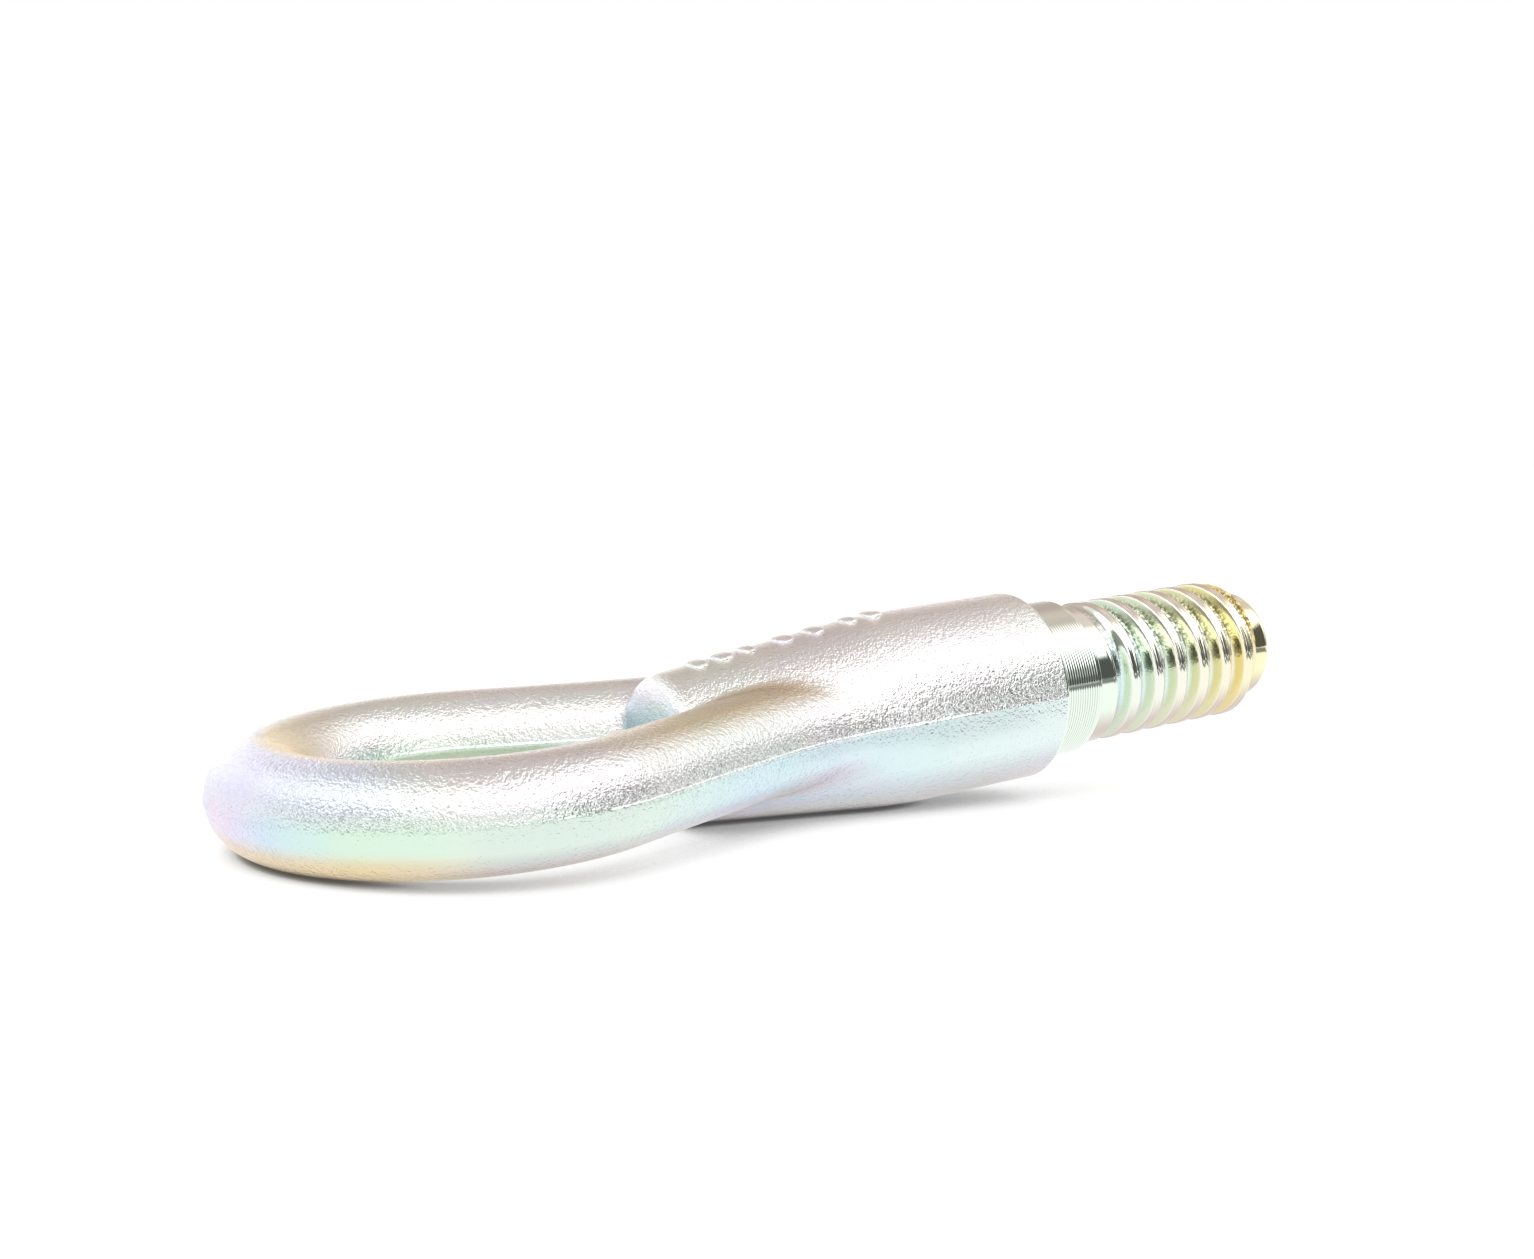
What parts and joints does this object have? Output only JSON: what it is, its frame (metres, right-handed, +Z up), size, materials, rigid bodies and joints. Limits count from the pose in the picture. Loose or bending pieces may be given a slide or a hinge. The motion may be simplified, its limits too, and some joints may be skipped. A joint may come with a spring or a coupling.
{
  "type": "tow eye",
  "caption": "Screw-in tow eye: a round bar closed into a loop on a thick shank, with a turned neck, a coarse rounded thread and a plain pilot tip.",
  "frame": {"origin": "on the floor, under the middle of the part's box as it lies at rest", "axes": "+X along the part towards the screw's tip, +Y across the eye, +Z up; the screw axis rises 5.9 degrees towards the tip"},
  "size_m": [0.155, 0.0598, 0.029],
  "materials": {
    "plated_steel": "zinc plated with a thin pale iridescent passivation, forged grain on the eye and shank, turned neck, rolled thread"
  },
  "bodies": {
    "root": {"tow_eye": "plated_steel"}
  },
  "joints": []
}
